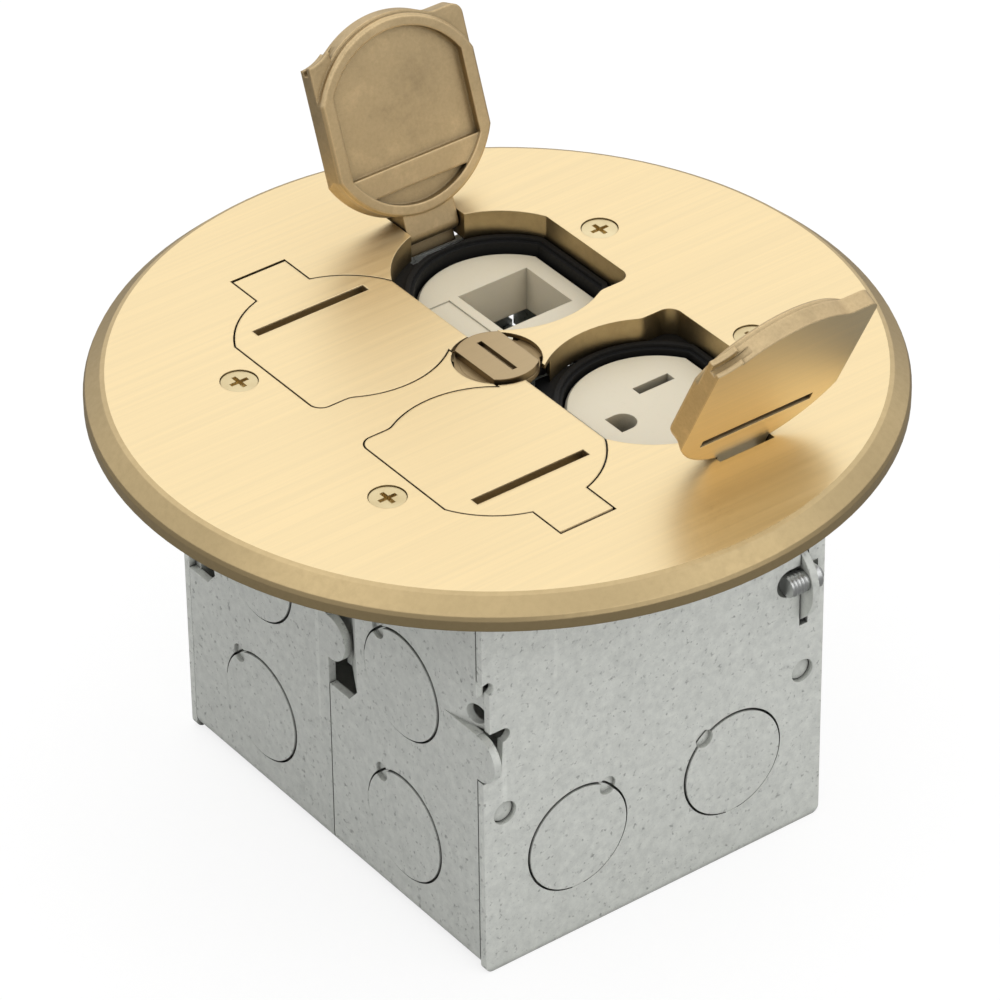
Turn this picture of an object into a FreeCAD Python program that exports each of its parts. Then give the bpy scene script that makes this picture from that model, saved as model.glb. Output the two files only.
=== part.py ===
"""Round brass floor cover with four flip lids on a two-gang steel floor box.

Millimetres. +Z is up, the origin is the centre of the box's flat base, X runs along the
devices (the long way of a duplex outlet) and Y runs from gang to gang.
"""
import FreeCAD, Part
import math
import os

os.makedirs("parts", exist_ok=True)
V = FreeCAD.Vector

# ---- Driving dimensions ----------------------------------------------------------------
# steel box: two ganged U-shaped bodies closed by two side plates
gang_pitch = 46.04            # width of one gang, centre to centre of the devices
box_inside_length = 76.2
box_depth = 88.9
sheet = 1.6                   # box steel
body_gap = 0.15               # each body's share of the gap between gangs
plate_gap = 0.2               # between a body's edge and the side plate
fold_radius = 3.6             # outside radius of the bottom fold
rim_drop = 1.5                # side plates stop this far below the rim
knockout_radius = 11.1
knockout_gap = 0.45
knockout_proud = 0.25
knockout_tie = 1.3            # half width of the tie that holds a disc
pry_radius, pry_depth, pry_angle = 1.9, 0.8, 128.0
end_knockout_z = (19.3, 52.3)
side_knockout_z = 22.0
side_knockout_x = 18.2
base_hole_spacing = 50.8      # nail and screw holes in the base
base_hole_radius = 2.5
# hooks and ears that gang the bodies together
hook_reach = 5.4              # how far hooks and ears stand past a body's edge
hook_low, hook_high = 44.9, 54.6
pocket_low, pocket_high = 54.8, 63.0
pocket_run, pocket_depth = 10.0, 2.4
ear_low, ear_high = 47.0, 64.0
joggle_low, joggle_high = 41.9, 66.0
joggle_run, joggle_flat, joggle_depth = 8.7, 1.5, 4.1
joggle_slot, joggle_slot_taper = 3.0, 2.6   # sheared opening under the joggle
gang_screw_z = 57.6
gang_screw_inset = 2.3
gang_screw_radius = 2.08
gang_screw_length, side_screw_length = 9.0, 6.0
gang_head_radius, gang_head_height = 2.5, 2.0
gang_driver_width, gang_driver_depth, gang_head_chamfer = 1.0, 0.9, 0.9
notch_depth = 4.2             # side plate notch for the hook, from the box's corner
notch_corner = 1.4
relief_radius, relief_z = 1.7, 65.2         # round bite in the side plate's edge
screw_slot_reach = 11.4       # side plate's screw slot, measured from the box's corner
screw_slot_radius = 3.0
flange_width, flange_low, flange_high = 7.0, 30.0, 41.4
button_inset, button_z, button_radius = 4.9, 35.7, 2.3
button_height, button_hole_radius = 0.5, 2.5
bond_screw_y = 12.0           # bonding screw, from the middle of its body
bond_screw_radius, bond_hex_radius, bond_washer_radius = 2.2, 3.6, 4.4
bond_hex_height, bond_washer_height = 2.6, 0.8
bond_driver_width, bond_driver_depth = 1.0, 0.8
# device mounting
ear_hole_offset = 3.57        # device screw's centre outside the wall's inner face
ear_width, ear_length = 20.0, 8.8
wall_gap_width = 24.0         # gap in the end wall above each device ear
device_drop = 12.1            # cover top down to the top of the device straps
strap = 1.3
strap_end = 10.3              # strap beyond the device screw
strap_end_width, strap_mid_width = 19.0, 34.0
strap_slot = 1.2              # half the play of the strap's screw slots
cover_screw_radius = 1.75
cover_screw_length = 19.0
screw_head_radius, screw_head_height, screw_head_sink = 3.5, 2.3, 0.25
head_clearance, boss_clearance = 0.1, 0.15
cross_length, cross_width, cross_depth = 3.8, 0.9, 1.3
hole_clearance = 0.06
# cover
cover_diameter = 152.4
cover_thickness = 5.7
bevel_drop, bevel_run, bevel_softness = 3.2, 3.6, 0.5
gasket_sheet = 0.8
flange_gasket_inner, flange_gasket_outer = 63.0, 73.0
flange_groove_depth, flange_gasket_stand = 1.6, 0.4
boss_radius = 3.9
# lids
lid_gap = 0.35
lid_centre_x = 18.0
lid_centre_y = gang_pitch / 2 + 0.28
lid_radius = 20.0
lid_inner, lid_outer = 0.2, 35.8
lid_thickness = 4.7
lid_edge, lid_draft, lid_chamfer = 0.3, 0.6, 0.5   # upright edge, draft below it, lower chamfer
ear_thickness = 3.3
lid_ear_y, lid_ear_start, lid_ear_corner, lid_ear_blend = 6.4, 26.0, 2.4, 3.5
inner_ear_end = 5.2
tab_half_width = 5.9
hinge_y, hinge_depth = 46.1, 2.2
barrel_radius = 2.1
tab_sweep = 4.7               # radius of the tab's outer end about the pin
tab_plate = 1.6
tab_root = 4.0                # how far the tab runs in under the lid's round edge
slot_end_clearance = 0.15
pin_radius, pin_half_length, pin_clearance = 1.0, 9.8, 0.05
finger_slot_length, finger_slot_width, finger_slot_depth = 25.2, 2.0, 1.9
finger_slot_y = 33.8
finger_slot_x = 17.9
rim_width, pocket_main, pocket_step = 2.9, 1.7, 0.6
step_band = 4.8               # width of the shallow band under the finger slot
rear_open_angle, front_open_angle = 110.0, 116.0
# latch
latch_radius, latch_flat, latch_stand = 7.9, 5.15, 0.6
latch_skin = 0.9              # cover thickness left over the latch cam
latch_recess = 8.45
cam_reach, cam_half_width, cam_hub, cam_thickness = 9.5, 3.4, 7.95, 1.1
running_gap = 0.1
spindle_radius, spindle_tail = 3.0, 1.5     # the tail stands below the cover
clip_groove_low, clip_groove_high, clip_groove_depth = 0.75, 0.1, 0.7
clip_reach, clip_play, clip_opening = 1.4, 0.05, 3.2
spring_radius, spring_thickness = 5.9, 0.5
coin_slot_length, coin_slot_width, coin_slot_depth = 11.0, 1.1, 1.0
keeper_half_length, keeper_half_width, keeper_thickness, keeper_hub = 14.5, 2.5, 1.5, 6.5
keeper_screw_x, keeper_screw_radius, keeper_screw_length = 12.0, 1.1, 3.2
keeper_head_radius, keeper_head_height = 2.0, 1.1
keeper_driver_width, keeper_driver_depth = 0.6, 0.5
# devices
face_pitch = 38.86
face_radius, face_flat = 17.05, 14.3
outlet_drop, insert_drop = 6.5, 7.85   # cover top down to the device faces
face_clearance = 0.45
collar_width, collar_depth = 2.6, 3.2
lip_inset, lip_width, lip_height = 0.6, 1.0, 0.8
blade_x, blade_y, blade_width = 4.0, 6.25, 2.2
neutral_length, hot_length = 8.2, 6.6
ground_x, ground_radius = -8.0, 2.6
face_chamfer = 0.5
face_bridge_length, face_bridge_width, face_bridge_height = 18.0, 24.0, 2.0
spigot_half_x, spigot_half_y, spigot_clearance = 12.5, 10.5, 0.1
outlet_body_depth = 26.0
body_end_clearance, body_half_width, body_corner = 3.6, 15.8, 3.0
well_half_width, well_depth, well_end = 2.6, 18.0, 3.5
terminal_x, terminal_z = 12.0, 12.5         # terminal screws, from the device's middle and face plate
terminal_recess_half, terminal_recess_top = 5.0, 7.0
terminal_reach = 5.6          # blade row to the terminal plate's outer face
terminal_head_height, terminal_shank = 1.8, 2.4
terminal_driver_width, terminal_driver_depth = 1.0, 1.1
bus_top, bus_bottom, leaf_top = 9.0, 16.0, 0.5
leaf_half_length, leaf_offset = 3.0, 1.7
ground_leaf_half, ground_offset = 2.4, 2.2
port_length, port_width, port_depth, port_x, port_wall = 16.2, 14.3, 9.4, 2.07, 1.5
label_near, label_far, label_depth = 8.1, 13.3, 0.3
contact = 0.8                 # contact strip thickness
rivet_radius, rivet_wall, rivet_lip, rivet_lip_height = 1.9, 0.6, 1.1, 0.6
terminal_radius, terminal_head_radius = 1.9, 3.6
terminal_wall = 11.0          # device centre to the wall behind the terminal screws

# ---- Levels and places that follow -----------------------------------------------------
half_length = box_inside_length / 2 + sheet
wall_inner = box_inside_length / 2
z_rim = box_depth
z_under = z_rim + gasket_sheet
z_top = z_under + cover_thickness
z_strap = z_top - device_drop            # top of the straps
z_ear = z_strap - strap                  # top of the box ears
z_outlet = z_top - outlet_drop
z_insert = z_top - insert_drop
z_hinge = z_top - hinge_depth
device_y = gang_pitch / 2
screw_x = wall_inner + ear_hole_offset
strap_half_length = screw_x + strap_end
body_half_length = wall_inner - body_end_clearance
button_x = half_length - button_inset
slot_end_y = hinge_y + tab_sweep + slot_end_clearance
cam_top = z_top - latch_skin - running_gap
cam_bottom = cam_top - cam_thickness
keeper_top = z_under + keeper_thickness
groove_radius = cam_reach + 0.3
ledge_radius = latch_radius + 0.2
ear_edge_radius = latch_recess + 0.4
neck_thickness = hinge_depth + barrel_radius
FAR = 200.0


# ---- Helpers ---------------------------------------------------------------------------
def block(x0, x1, y0, y1, z0, z1):
    return Part.makeBox(x1 - x0, y1 - y0, z1 - z0, V(x0, y0, z0))


def rod(radius, start, direction, length):
    return Part.makeCylinder(radius, length, V(*start), V(*direction))


def upright(radius, x, y, z0, z1):
    return Part.makeCylinder(radius, z1 - z0, V(x, y, z0))


def prism(points, direction):
    """Extrude a closed polygon of 3-D points."""
    wire = Part.makePolygon([V(*p) for p in points + points[:1]])
    return Part.Face(wire).extrude(V(*direction))


def fuse(shapes):
    whole = shapes[0]
    for shape in shapes[1:]:
        whole = whole.fuse(shape)
    return whole.removeSplitter()


def cut(shape, tools):
    for tool in tools:
        shape = shape.cut(tool)
    return shape


def fillet_upright(shape, places, radius):
    """Round the vertical edges that stand at the given XY places."""
    edges = []
    for edge in shape.Edges:
        ends = [v.Point for v in edge.Vertexes]
        if len(ends) != 2 or abs(ends[0].z - ends[1].z) < 0.5:
            continue
        for x, y in places:
            if all(math.hypot(p.x - x, p.y - y) < 0.05 for p in ends):
                edges.append(edge)
    return shape.makeFillet(radius, edges) if edges else shape


def mirror_x(shape):
    return shape.mirror(V(0, 0, 0), V(1, 0, 0))


def mirror_y(shape):
    return shape.mirror(V(0, 0, 0), V(0, 1, 0))


def half_turn(shape):
    turned = shape.copy()
    turned.rotate(V(0, 0, 0), V(0, 0, 1), 180)
    return turned


def four_ways(shape):
    """The shape and its mirror images in the other three quadrants."""
    left = mirror_x(shape)
    return [shape, left, mirror_y(shape), mirror_y(left)]


def single(shape):
    """A one-solid compound reduced to its solid."""
    return shape.Solids[0] if len(shape.Solids) == 1 else shape


def save(shape, node):
    if not shape.isValid():
        raise ValueError(node + " is not a valid shape")
    single(shape).exportStep("parts/" + node + ".step")


# ---- Lids and their openings -----------------------------------------------------------
def lid_body():
    """The thick part of a lid: a drafted disc, cut straight along its two sides."""
    z0 = z_top - lid_thickness
    narrow = lid_radius - lid_draft
    profile = [(0, z0), (narrow - lid_chamfer, z0), (narrow, z0 + lid_chamfer), (narrow, z_hinge),
               (lid_radius, z_top - lid_edge), (lid_radius, z_top), (0, z_top)]
    points = [V(lid_centre_x + r, lid_centre_y, z) for r, z in profile + profile[:1]]
    disc = Part.Face(Part.makePolygon(points)).revolve(V(lid_centre_x, lid_centre_y, 0), V(0, 0, 1), 360)
    sides = [(lid_inner, z_top), (lid_outer, z_top), (lid_outer, z0 + lid_chamfer),
             (lid_outer - lid_chamfer, z0), (lid_inner + lid_chamfer, z0), (lid_inner, z0 + lid_chamfer)]
    return disc.common(prism([(x, 0, z) for x, z in sides], (0, FAR, 0)))


def round_part(grow, inner, outer, z0, z1):
    """The lid's circle, cut straight along its two sides."""
    disc = upright(lid_radius + grow, lid_centre_x, lid_centre_y, z0, z1)
    return disc.common(block(inner, outer, 0, FAR, z0, z1))


def lid_ears(grow, inner, outer, z0, z1):
    """The squared-off free corners: one at the rim side, one beside the latch."""
    rim_ear = block(lid_ear_start, outer, lid_ear_y - grow, lid_centre_y, z0, z1)
    latch_ear = block(inner, inner_ear_end + grow, lid_ear_y, lid_centre_y, z0, z1)
    return [rim_ear, latch_ear]


def ear_corners(grow, outer):
    """XY places of the rim ear's outer corner and of its foot on the circle."""
    radius = lid_radius + grow
    ear_y = lid_ear_y - grow
    foot = lid_centre_x + math.sqrt(radius ** 2 - (lid_centre_y - ear_y) ** 2)
    return (outer, ear_y), (foot, ear_y)


def plan_with_ears(grow, inner, outer, z0, z1):
    plan = fuse([round_part(grow, inner, outer, z0, z1)] + lid_ears(grow, inner, outer, z0, z1))
    corner, foot = ear_corners(grow, outer)
    plan = fillet_upright(plan, [corner], lid_ear_corner + grow)
    return fillet_upright(plan, [foot], lid_ear_blend)


def lid_opening():
    """One quarter of the openings through the cover, tab slot included."""
    z0, z1 = z_under - 10, z_top + 1
    opening = plan_with_ears(lid_gap, -0.01, lid_outer + lid_gap, z0, z1)
    reach = tab_half_width + lid_gap
    slot = block(lid_centre_x - reach, lid_centre_x + reach, lid_centre_y, slot_end_y, z0, z1)
    return fuse([opening, slot])


def lid_tab():
    """Hinge tab: flat plate, neck and barrel about the pin."""
    x0, x1 = lid_centre_x - tab_half_width, lid_centre_x + tab_half_width
    width = x1 - x0
    root = lid_centre_y + lid_radius - tab_root
    plate = block(x0, x1, root, hinge_y + tab_sweep, z_top - tab_plate, z_top)
    plate = plate.common(rod(tab_sweep, (x0, hinge_y, z_hinge), (1, 0, 0), width).fuse(
        block(x0, x1, root, hinge_y, z_top - tab_plate, z_top)))
    neck = block(x0, x1, root, hinge_y, z_top - neck_thickness, z_top)
    barrel = rod(barrel_radius, (x0, hinge_y, z_hinge), (1, 0, 0), width)
    tab = fuse([plate, neck, barrel])
    bore = rod(pin_radius + pin_clearance, (x0 - 1, hinge_y, z_hinge), (1, 0, 0), width + 2)
    return tab, bore


def lid_underside():
    """Recesses under the lid: main pocket, shallow band and the lens by the hinge."""
    z0 = z_top - lid_thickness
    inside = upright(lid_radius - rim_width, lid_centre_x, lid_centre_y, z0 - 1, z0 + pocket_main)
    inside = inside.common(block(lid_inner + rim_width, lid_outer - rim_width, 0, FAR, z0 - 1,
                                 z0 + pocket_main))
    band_start = finger_slot_y - finger_slot_width
    band_end = band_start + step_band
    main = inside.common(block(0, FAR, 0, band_start, z0 - 1, z0 + pocket_main))
    band = inside.common(block(0, FAR, band_start - 0.01, band_end, z0 - 1, z0 + pocket_step))
    lens = inside.common(block(0, FAR, band_end - 0.01, FAR, z0 - 1, z0 + pocket_main))
    return [main, band, lens]


def lid_closed():
    """The lid of the +X +Y quadrant, shut."""
    z0 = z_top - lid_thickness
    ears = plan_with_ears(0, lid_inner, lid_outer, z_top - ear_thickness, z_top)
    ears = ears.common(block(0, FAR, 0, lid_centre_y, z0, z_top))
    tab, bore = lid_tab()
    lid = fuse([lid_body(), ears, tab])
    skin = z_top - latch_skin
    groove_floor = cam_bottom - 0.15
    latch_cuts = [upright(ledge_radius, 0, 0, z0 - 1, z_top + 1),
                  upright(ear_edge_radius, 0, 0, skin, z_top + 1),
                  upright(groove_radius, 0, 0, groove_floor, skin)]
    slot = block(finger_slot_x - finger_slot_length / 2, finger_slot_x + finger_slot_length / 2,
                 finger_slot_y - finger_slot_width / 2, finger_slot_y + finger_slot_width / 2,
                 z_top - finger_slot_depth, z_top + 1)
    return cut(lid, latch_cuts + [slot, bore] + lid_underside())


def opened(lid, side, angle):
    """Swing a shut lid of the rear (+1) or front (-1) row up about its pin."""
    swung = lid.copy()
    swung.rotate(V(0, side * hinge_y, z_hinge), V(-side, 0, 0), angle)
    return swung


def hinge_pin():
    return rod(pin_radius, (lid_centre_x - pin_half_length, hinge_y, z_hinge), (1, 0, 0),
               2 * pin_half_length)


def pin_channel():
    """Groove in the cover's underside that takes the hinge pin, with a round end."""
    reach = pin_half_length + pin_clearance
    radius = pin_radius + 0.02
    x0, x1 = lid_centre_x - reach, lid_centre_x + reach
    groove = block(x0, x1, hinge_y - radius, hinge_y + radius, z_under - 1, z_hinge)
    return groove.fuse(rod(radius, (x0, hinge_y, z_hinge), (1, 0, 0), x1 - x0))


def pin_keepers():
    """Staked blocks that close the pin groove beside the tab slot, for one pin."""
    near = tab_half_width + lid_gap + 0.05
    far = pin_half_length
    keepers = []
    for side in (-1, 1):
        edges = sorted([lid_centre_x + side * near, lid_centre_x + side * far])
        keepers.append(block(edges[0], edges[1], hinge_y - pin_radius, hinge_y + pin_radius,
                             z_under, z_hinge - pin_radius))
    return keepers


# ---- Cover -----------------------------------------------------------------------------
def cover_blank():
    """The plain disc: upright edge, bevel, and a small chamfer on each of its two rims."""
    radius, low = cover_diameter / 2, z_top - bevel_drop
    slope = math.atan2(bevel_drop, bevel_run)
    back, rise = bevel_softness * math.cos(slope), bevel_softness * math.sin(slope)
    profile = [(0, z_under), (radius, z_under), (radius, low - bevel_softness),
               (radius - back, low + rise), (radius - bevel_run + back, z_top - rise),
               (radius - bevel_run - bevel_softness, z_top), (0, z_top)]
    wire = Part.makePolygon([V(r, 0, z) for r, z in profile + profile[:1]])
    return Part.Face(wire).revolve(V(0, 0, 0), V(0, 0, 1), 360)


def screw_hole(x, y):
    """Counterbored clearance hole for one cover screw, through its boss."""
    top = z_top - screw_head_sink
    shank = upright(cover_screw_radius + boss_clearance, x, y, z_strap - 1, z_top + 1)
    sink = upright(screw_head_radius + head_clearance, x, y, top - screw_head_height, z_top + 1)
    return shank.fuse(sink)


def flange_groove():
    ring = upright(flange_gasket_outer, 0, 0, z_under - 1, z_under + flange_groove_depth)
    return ring.cut(upright(flange_gasket_inner, 0, 0, z_under - 1, z_under + flange_groove_depth))


def keeper_pocket():
    return block(-keeper_half_length - 0.1, keeper_half_length + 0.1, -keeper_half_width - 0.1,
                 keeper_half_width + 0.1, z_under - 1, keeper_top)


def cover_plate():
    bosses = [upright(boss_radius, sx * screw_x, sy * device_y, z_strap, z_under + 1)
              for sx in (-1, 1) for sy in (-1, 1)]
    cover = fuse([cover_blank()] + bosses)
    tools = four_ways(lid_opening()) + four_ways(pin_channel())
    tools += [screw_hole(sx * screw_x, sy * device_y) for sx in (-1, 1) for sy in (-1, 1)]
    tools += [upright(latch_recess, 0, 0, z_under - 1, z_top + 1),
              upright(cam_reach + 0.2, 0, 0, z_under - 1, z_top - latch_skin),
              flange_groove(), keeper_pocket()]
    tools += [upright(keeper_screw_radius + hole_clearance, sx * keeper_screw_x, 0, z_under,
                      keeper_top + keeper_screw_length - keeper_thickness + 0.1)
              for sx in (-1, 1)]
    return cut(cover, tools)


def cover_screws():
    """Four flat-head screws with a cross recess."""
    screws = []
    top = z_top - screw_head_sink
    long, short = cross_length / 2, cross_width / 2
    for sx in (-1, 1):
        for sy in (-1, 1):
            x, y = sx * screw_x, sy * device_y
            head_low = top - screw_head_height + head_clearance
            head = Part.makeCone(cover_screw_radius + 0.4, screw_head_radius, top - head_low,
                                 V(x, y, head_low))
            shank = upright(cover_screw_radius, x, y, top - cover_screw_length, top - 1)
            cross = [block(x - a, x + a, y - b, y + b, top - cross_depth, top + 1)
                     for a, b in ((long, short), (short, long))]
            screws.append(cut(head.fuse(shank).removeSplitter(), cross))
    return Part.makeCompound(screws)


def flange_gasket():
    z0 = z_under - flange_gasket_stand
    ring = upright(flange_gasket_outer - 0.1, 0, 0, z0, z_under + flange_groove_depth)
    return ring.cut(upright(flange_gasket_inner + 0.1, 0, 0, z0 - 1, z_top))


# ---- Latch -----------------------------------------------------------------------------
def latch_disc():
    """Coin-slotted disc with two flats, and the spindle under it."""
    z0, z1 = z_top - latch_skin, z_top + latch_stand
    disc = upright(latch_radius, 0, 0, z0, z1).common(block(-latch_flat, latch_flat, -FAR, FAR, z0, z1))
    spindle = upright(spindle_radius, 0, 0, z_under - spindle_tail, z0)
    low, high = z_under - clip_groove_low, z_under - clip_groove_high
    core = upright(spindle_radius - clip_groove_depth, 0, 0, low, high)
    spindle = spindle.cut(upright(spindle_radius + 1, 0, 0, low, high).cut(core))
    slot = block(-coin_slot_width / 2, coin_slot_width / 2, -coin_slot_length / 2,
                 coin_slot_length / 2, z1 - coin_slot_depth, z1 + 1)
    return fuse([disc, spindle]).cut(slot)


def latch_cam():
    """Two-lobed cam clamped under the disc: a quarter turn slides its lobes into the lids."""
    hub = upright(cam_hub, 0, 0, cam_bottom, cam_top)
    lobes = upright(cam_reach, 0, 0, cam_bottom, cam_top).common(
        block(-FAR, FAR, -cam_half_width, cam_half_width, cam_bottom, cam_top))
    collar = upright(cam_hub - 1, 0, 0, cam_top - 0.01, z_top - latch_skin)
    return fuse([hub, lobes, collar]).cut(upright(spindle_radius, 0, 0, cam_bottom - 1, z_top))


def latch_keeper():
    plate = block(-keeper_half_length, keeper_half_length, -keeper_half_width, keeper_half_width,
                  z_under, keeper_top)
    plate = fuse([plate, upright(keeper_hub, 0, 0, z_under, keeper_top)])
    holes = [upright(spindle_radius + pin_clearance, 0, 0, z_under - 1, keeper_top + 1)]
    holes += [upright(keeper_screw_radius + hole_clearance, sx * keeper_screw_x, 0, z_under - 1,
                      keeper_top + 1) for sx in (-1, 1)]
    return cut(plate, holes)


def latch_spring():
    """Dished spring washer that holds the cam up against the disc."""
    r0, r1 = spindle_radius + 0.3, spring_radius
    low, high = keeper_top + 0.05, cam_bottom - 0.05
    ring = [(r1, 0, low), (r1, 0, low + spring_thickness), (r0, 0, high),
            (r0, 0, high - spring_thickness)]
    wire = Part.makePolygon([V(*p) for p in ring + ring[:1]])
    return Part.Face(wire).revolve(V(0, 0, 0), V(0, 0, 1), 360)


def latch_clip():
    """Open retaining ring in the spindle's groove."""
    z0, z1 = z_under - clip_groove_low + clip_play, z_under - clip_groove_high - clip_play
    ring = upright(spindle_radius + clip_reach, 0, 0, z0, z1)
    ring = ring.cut(upright(spindle_radius - clip_groove_depth, 0, 0, z0, z1))
    return ring.cut(block(0, FAR, -clip_opening / 2, clip_opening / 2, z0, z1))


def keeper_screws():
    screws = []
    for sx in (-1, 1):
        x = sx * keeper_screw_x
        head = upright(keeper_head_radius, x, 0, z_under - keeper_head_height, z_under)
        half, low = keeper_driver_width / 2, z_under - keeper_head_height
        head = head.cut(block(x - half, x + half, -FAR, FAR, low - 1, low + keeper_driver_depth))
        shank = upright(keeper_screw_radius, x, 0, z_under - 0.2, z_under + keeper_screw_length)
        screws.append(head.fuse(shank).removeSplitter())
    return Part.makeCompound(screws)


# ---- Seals and device faces ------------------------------------------------------------
def face_solid(x, y, grow, z0, z1):
    """A duplex face: a circle with two flats across the device."""
    disc = upright(face_radius + grow, x, y, z0, z1)
    return disc.common(block(x - face_flat - grow, x + face_flat + grow, y - FAR, y + FAR, z0, z1))


def face_places():
    return [(sx * face_pitch / 2, sy * device_y) for sy in (-1, 1) for sx in (-1, 1)]


def device_gasket():
    """Moulded rubber gasket: sheet on the rim, a collar and a raised lip round each face."""
    edge = hinge_y - barrel_radius - 1.0
    sheet_solid = block(-half_length, half_length, -edge, edge, z_rim, z_under)
    collars, lips, holes = [], [], []
    for x, y in face_places():
        collars.append(face_solid(x, y, face_clearance + collar_width, z_rim - collar_depth, z_rim))
        lip = face_solid(x, y, face_clearance + lip_inset + lip_width, z_under, z_under + lip_height)
        lips.append(lip.cut(face_solid(x, y, face_clearance + lip_inset, z_under,
                                       z_under + lip_height)))
        holes.append(face_solid(x, y, face_clearance, z_rim - collar_depth - 1, z_top))
    inside = block(-wall_inner + 0.3, wall_inner - 0.3, -FAR, FAR, 0, FAR)
    gasket = fuse([sheet_solid] + [c.common(inside) for c in collars] + lips)
    reach_x, reach_y = keeper_half_length + 1.5, keeper_half_width + 1
    slot = tab_half_width + lid_gap + 0.5
    room = [block(-reach_x, reach_x, -reach_y, reach_y, 0, z_top),
            upright(keeper_hub + 0.5, 0, 0, 0, z_top)]
    room += [upright(boss_radius + 0.4, sx * screw_x, sy * device_y, 0, z_top)
             for sx in (-1, 1) for sy in (-1, 1)]
    room += [upright(rivet_radius + rivet_lip + 0.4, 0, sy * device_y, 0, z_rim - gasket_sheet)
             for sy in (-1, 1)]
    room += four_ways(block(lid_centre_x - slot, lid_centre_x + slot, edge - 1.5, edge + 1,
                            z_rim - 1, z_top))
    return cut(gasket, holes + room)


# ---- Devices ---------------------------------------------------------------------------
def strap_plate(y, window_half_x, window_half_y, window_x):
    """Steel mounting strap with slotted screw holes and a window under each face."""
    z0 = z_strap - strap
    half = strap_end_width / 2
    long = block(-strap_half_length, strap_half_length, y - half, y + half, z0, z_strap)
    long = fillet_upright(long, [(sx * strap_half_length, y + sy * half)
                                 for sx in (-1, 1) for sy in (-1, 1)], 2.5)
    mid = block(-wall_inner + 1.2, wall_inner - 1.2, y - strap_mid_width / 2,
                y + strap_mid_width / 2, z0, z_strap)
    plate = fuse([long, mid])
    radius = cover_screw_radius + 0.2
    holes = [upright(rivet_radius + hole_clearance, 0, y, z0 - 1, z_strap + 1)]
    for sx in (-1, 1):
        x = sx * screw_x
        holes += [upright(radius, x - strap_slot, y, z0 - 1, z_strap + 1),
                  upright(radius, x + strap_slot, y, z0 - 1, z_strap + 1),
                  block(x - strap_slot, x + strap_slot, y - radius, y + radius, z0 - 1, z_strap + 1)]
        cx = sx * (face_pitch / 2 + window_x)
        holes.append(block(cx - window_half_x, cx + window_half_x, y - window_half_y,
                           y + window_half_y, z0 - 1, z_strap + 1))
    return cut(plate, holes)


def plug_windows(x, y, z0, z1):
    """Blade slots and the D-shaped ground hole of one outlet face."""
    windows = []
    for side, length in ((1, neutral_length), (-1, hot_length)):
        bx, by = x + blade_x, y + side * blade_y
        windows.append(block(bx - length / 2, bx + length / 2, by - blade_width / 2,
                             by + blade_width / 2, z0, z1))
    gx = x + ground_x
    round_side = upright(ground_radius, gx, y, z0, z1).common(block(gx, FAR, -FAR, FAR, z0, z1))
    flat_side = block(gx - ground_radius + 0.4, gx, y - ground_radius, y + ground_radius, z0, z1)
    return windows + [round_side, flat_side]


def raised_face(x, y, level):
    face = face_solid(x, y, 0, z_strap, level)
    rim = [e for e in face.Edges if all(abs(v.Point.z - level) < 0.01 for v in e.Vertexes)]
    return face.makeChamfer(face_chamfer, rim)


def face_bridge(y):
    """Low bridge between the two faces of a device, round its rivet."""
    return block(-face_bridge_length / 2, face_bridge_length / 2, y - face_bridge_width / 2,
                 y + face_bridge_width / 2, z_strap, z_strap + face_bridge_height)


def outlet_face():
    """Duplex outlet face: two raised faces, a bridge, and spigots through the strap."""
    y = -device_y
    z0 = z_strap - strap
    pieces = [face_bridge(y)]
    windows = [upright(rivet_radius + hole_clearance, 0, y, z0, z_top)]
    for sx in (-1, 1):
        x = sx * face_pitch / 2
        pieces.append(raised_face(x, y, z_outlet))
        pieces.append(block(x - spigot_half_x, x + spigot_half_x, y - spigot_half_y,
                            y + spigot_half_y, z0, z_strap))
        windows += plug_windows(x, y, z0 - 1, z_outlet + 1)
    return cut(fuse(pieces), windows)


def outlet_body():
    """Back housing with contact wells and recesses for the terminal screws."""
    y = -device_y
    z1 = z_strap - strap
    z0 = z1 - outlet_body_depth
    body = block(-body_half_length, body_half_length, y - body_half_width, y + body_half_width, z0, z1)
    corners = [(sx * body_half_length, y + sy * body_half_width) for sx in (-1, 1) for sy in (-1, 1)]
    body = fillet_upright(body, corners, body_corner)
    reach = body_half_length - well_end
    tools = [upright(rivet_radius + hole_clearance, 0, y, z0 - 1, z1 + 1)]
    for row in (-blade_y, 0, blade_y):
        tools.append(block(-reach, reach, y + row - well_half_width, y + row + well_half_width,
                           z1 - well_depth, z1 + 1))
    gate = terminal_radius + 1.3
    for sy in (-1, 1):
        outside = sorted([y + sy * terminal_wall, y + sy * FAR])
        through = sorted([y + sy * (blade_y + well_half_width - 0.1), y + sy * (terminal_wall + 0.1)])
        for x in (-terminal_x, terminal_x):
            tools.append(block(x - terminal_recess_half, x + terminal_recess_half, outside[0],
                               outside[1], z1 - well_depth, z1 - terminal_recess_top))
            tools.append(block(x - gate, x + gate, through[0], through[1], z1 - terminal_z - gate + 1,
                               z1 - terminal_z + gate))
    return cut(body, tools)


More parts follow.
